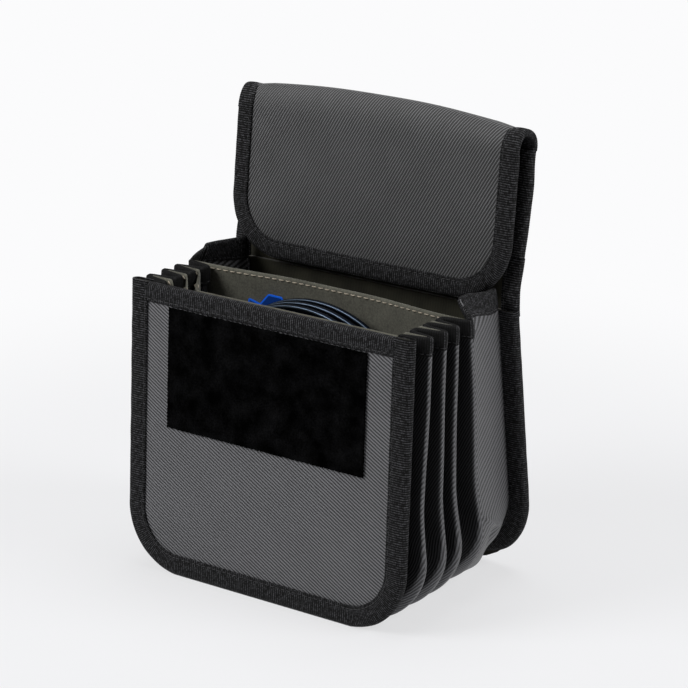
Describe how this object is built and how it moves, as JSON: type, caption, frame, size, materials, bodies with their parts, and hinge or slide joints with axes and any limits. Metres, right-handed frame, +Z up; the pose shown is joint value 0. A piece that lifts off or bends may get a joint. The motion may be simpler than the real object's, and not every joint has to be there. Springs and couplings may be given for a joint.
{
  "type": "lens filter case",
  "caption": "Accordion pocket case for round lens filters: stiff bound panels, pleated side gusset, cloth dividers and a folding flap with hook and loop closure.",
  "frame": {"origin": "on the floor, under the middle of the case's box", "axes": "+Z up, -Y towards the viewer of the front panel, +X to that viewer's right"},
  "size_m": [0.1416, 0.0926, 0.1916],
  "materials": {
    "twill": "charcoal polyester twill, matt",
    "flap_twill": "charcoal polyester twill, matt",
    "binding": "black grosgrain binding tape",
    "board": "grey stiffening sheet",
    "lining": "dark olive lining cloth",
    "microfibre": "olive grey microfibre, stitched",
    "loop_tape": "black loop pile",
    "hook_tape": "black hook tape",
    "webbing": "black woven webbing",
    "filter_ring": "black anodised, satin",
    "filter_glass": "dark neutral glass, polished",
    "blue_tab": "bright blue tape"
  },
  "bodies": {
    "back": {"back_shell": "twill", "back_board": "board", "back_lining": "lining", "back_edge_binding": "binding", "belt_loop": "webbing", "gusset": "twill", "rim_binding_left": "binding", "rim_binding_right": "binding", "flap_hinge_strip": "flap_twill", "flap_hinge_binding_left": "binding", "flap_hinge_binding_right": "binding"},
    "fourth_leaf": {"divider_4": "microfibre", "filter_1_ring": "filter_ring", "filter_1_glass": "filter_glass", "filter_2_ring": "filter_ring", "filter_2_glass": "filter_glass", "filter_3_ring": "filter_ring", "filter_3_glass": "filter_glass", "pull_tab": "blue_tab"},
    "third_leaf": {"divider_3": "microfibre"},
    "second_leaf": {"divider_2": "microfibre"},
    "first_leaf": {"divider_1": "microfibre"},
    "front": {"front_shell": "twill", "front_board": "board", "front_lining": "lining", "front_top_binding": "binding", "front_edge_binding": "binding", "loop_patch": "loop_tape"},
    "flap_rise": {"flap_rise_shell": "flap_twill", "flap_rise_board": "board", "flap_rise_lining": "lining", "flap_rise_binding_left": "binding", "flap_rise_binding_right": "binding", "flap_fold_strip": "flap_twill", "flap_fold_binding_left": "binding", "flap_fold_binding_right": "binding"},
    "flap_front": {"flap_front_shell": "flap_twill", "flap_front_board": "board", "flap_front_lining": "lining", "flap_front_binding": "binding", "hook_patch": "hook_tape"}
  },
  "joints": [
    {"name": "rear_pocket_slide", "type": "slide", "parent": "back", "child": "fourth_leaf", "axis": [0, 1, 0], "range_m": [-0.01, 0.014], "deforming": ["gusset", "rim_binding_left", "rim_binding_right"]},
    {"name": "fourth_pocket_slide", "type": "slide", "parent": "fourth_leaf", "child": "third_leaf", "axis": [0, 1, 0], "range_m": [-0.0011, 0.0015]},
    {"name": "third_pocket_slide", "type": "slide", "parent": "third_leaf", "child": "second_leaf", "axis": [0, 1, 0], "range_m": [-0.00296, 0.0041]},
    {"name": "second_pocket_slide", "type": "slide", "parent": "second_leaf", "child": "first_leaf", "axis": [0, 1, 0], "range_m": [-0.00296, 0.0041]},
    {"name": "first_pocket_slide", "type": "slide", "parent": "first_leaf", "child": "front", "axis": [0, 1, 0], "range_m": [-0.00296, 0.0041]},
    {"name": "flap_hinge", "type": "hinge", "parent": "back", "child": "flap_rise", "pos_m": [0, 0.02925, 0.13], "axis": [1, 0, 0], "range_deg": [-90, 95], "deforming": ["flap_hinge_strip", "flap_hinge_binding_left", "flap_hinge_binding_right"]},
    {"name": "flap_fold", "type": "hinge", "parent": "flap_rise", "child": "flap_front", "pos_m": [0, 0.03675, 0.181], "axis": [-1, 0, 0], "range_deg": [0, 172], "deforming": ["flap_fold_strip", "flap_fold_binding_left", "flap_fold_binding_right"]}
  ],
  "couplings": [
    {"joint": "fourth_pocket_slide", "follows": "rear_pocket_slide", "ratio": 0.1},
    {"joint": "third_pocket_slide", "follows": "rear_pocket_slide", "ratio": 0.28571},
    {"joint": "second_pocket_slide", "follows": "rear_pocket_slide", "ratio": 0.28571},
    {"joint": "first_pocket_slide", "follows": "rear_pocket_slide", "ratio": 0.28571}
  ]
}
